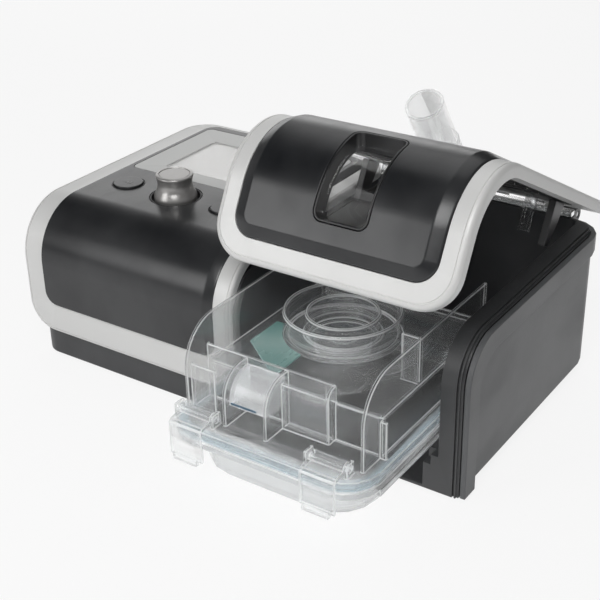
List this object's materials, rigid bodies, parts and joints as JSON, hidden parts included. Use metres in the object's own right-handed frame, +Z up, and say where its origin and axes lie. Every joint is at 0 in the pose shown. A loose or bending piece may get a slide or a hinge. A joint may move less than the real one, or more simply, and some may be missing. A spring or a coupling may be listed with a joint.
{
  "type": "bedside airway pressure machine with humidifier",
  "caption": "Bedside airway pressure machine: blower with display, knob and buttons, and a humidifier with hinged lid, drawn-out clear water chamber and swivel outlet elbow.",
  "frame": {"origin": "on the table plane, under the middle of the whole machine as pictured, with its lid open and its chamber drawn out", "axes": "+X to the right and +Y to the back as someone faces the machine, +Z up"},
  "size_m": [0.2962, 0.2886, 0.1751],
  "materials": {
    "charcoal": "satin",
    "black": "satin",
    "silver": "silver painted",
    "side_grey": "matt",
    "clear_plastic": "clear",
    "smoked_plastic": "smoked",
    "teal_plastic": "tinted clear",
    "blue_seal": "matt",
    "rubber": "matt",
    "steel": "brushed",
    "lens": "gloss",
    "screen": "satin"
  },
  "bodies": {
    "housing": {"air_port": "smoked_plastic", "bay_body": "black", "blower_base": "black", "blower_core": "charcoal", "button_well_left": "black", "button_well_right": "black", "display_lens": "lens", "display_screen": "screen", "filter_cover": "charcoal", "foot_1": "rubber", "foot_2": "rubber", "foot_3": "rubber", "foot_4": "rubber", "front_panel": "charcoal", "heater_plate": "steel", "hinge_ear_left_a": "black", "hinge_ear_left_b": "black", "hinge_ear_right_a": "black", "hinge_ear_right_b": "black", "hinge_pin_left": "steel", "hinge_pin_right": "steel", "knob_well": "black", "outlet_duct": "black", "outlet_socket": "black", "power_inlet": "black", "rear_trim": "silver", "side_cover": "side_grey", "silver_frame": "silver"},
    "lid": {"lid_panel": "charcoal", "lid_liner": "black", "lid_window_bezel": "black", "lid_post_left": "black", "lid_post_right": "black", "lid_frame": "silver", "lid_knuckle_left": "silver", "lid_knuckle_right": "silver", "lid_window_pane": "clear_plastic", "lid_tongue_left": "smoked_plastic", "lid_tongue_right": "smoked_plastic"},
    "chamber": {"chamber_shell": "clear_plastic", "chamber_grip": "clear_plastic", "chamber_spout": "clear_plastic", "chamber_cup": "clear_plastic", "chamber_pan": "clear_plastic", "latch_pin_left": "clear_plastic", "latch_pin_right": "clear_plastic", "chamber_plate": "teal_plastic", "chamber_seal": "blue_seal", "chamber_base": "steel"},
    "latch_left": {"latch_left": "clear_plastic"},
    "latch_right": {"latch_right": "clear_plastic"},
    "knob_stem": {"knob_shaft": "steel"},
    "knob": {"knob": "silver"},
    "button_left": {"button_left": "charcoal"},
    "button_right": {"button_right": "charcoal"},
    "elbow": {"elbow": "clear_plastic"}
  },
  "joints": [
    {"name": "lid_hinge", "type": "hinge", "parent": "housing", "child": "lid", "pos_m": [0.06985, 0.10075, 0.09], "axis": [-1, 0, 0], "range_deg": [-27.9, 17]},
    {"name": "chamber_slide", "type": "slide", "parent": "housing", "child": "chamber", "axis": [0, -1, 0], "range_m": [-0.0721, 0.044]},
    {"name": "latch_left_hinge", "type": "hinge", "parent": "chamber", "child": "latch_left", "pos_m": [0.02335, -0.13125, 0.0429], "axis": [-1, 0, 0], "range_deg": [0, 75]},
    {"name": "latch_right_hinge", "type": "hinge", "parent": "chamber", "child": "latch_right", "pos_m": [0.10285, -0.13125, 0.0429], "axis": [-1, 0, 0], "range_deg": [0, 75]},
    {"name": "knob_press", "type": "slide", "parent": "housing", "child": "knob_stem", "axis": [0, 0, 1], "range_m": [-0.0012, 0], "stiffness_N_per_m": 900},
    {"name": "knob_turn", "type": "hinge", "parent": "knob_stem", "child": "knob", "pos_m": [-0.07535, -0.02105, 0.1], "axis": [0, 0, 1], "continuous": true},
    {"name": "button_left_press", "type": "slide", "parent": "housing", "child": "button_left", "axis": [0, 0, 1], "range_m": [-0.001, 0], "stiffness_N_per_m": 600},
    {"name": "button_right_press", "type": "slide", "parent": "housing", "child": "button_right", "axis": [0, 0, 1], "range_m": [-0.001, 0], "stiffness_N_per_m": 600},
    {"name": "elbow_swivel", "type": "hinge", "parent": "housing", "child": "elbow", "pos_m": [0.02685, 0.12775, 0.08], "axis": [0, 0, 1], "continuous": true}
  ],
  "couplings": [
    {"joint": "chamber_slide", "follows": "lid_hinge", "m_per_rad": 0.14786}
  ]
}
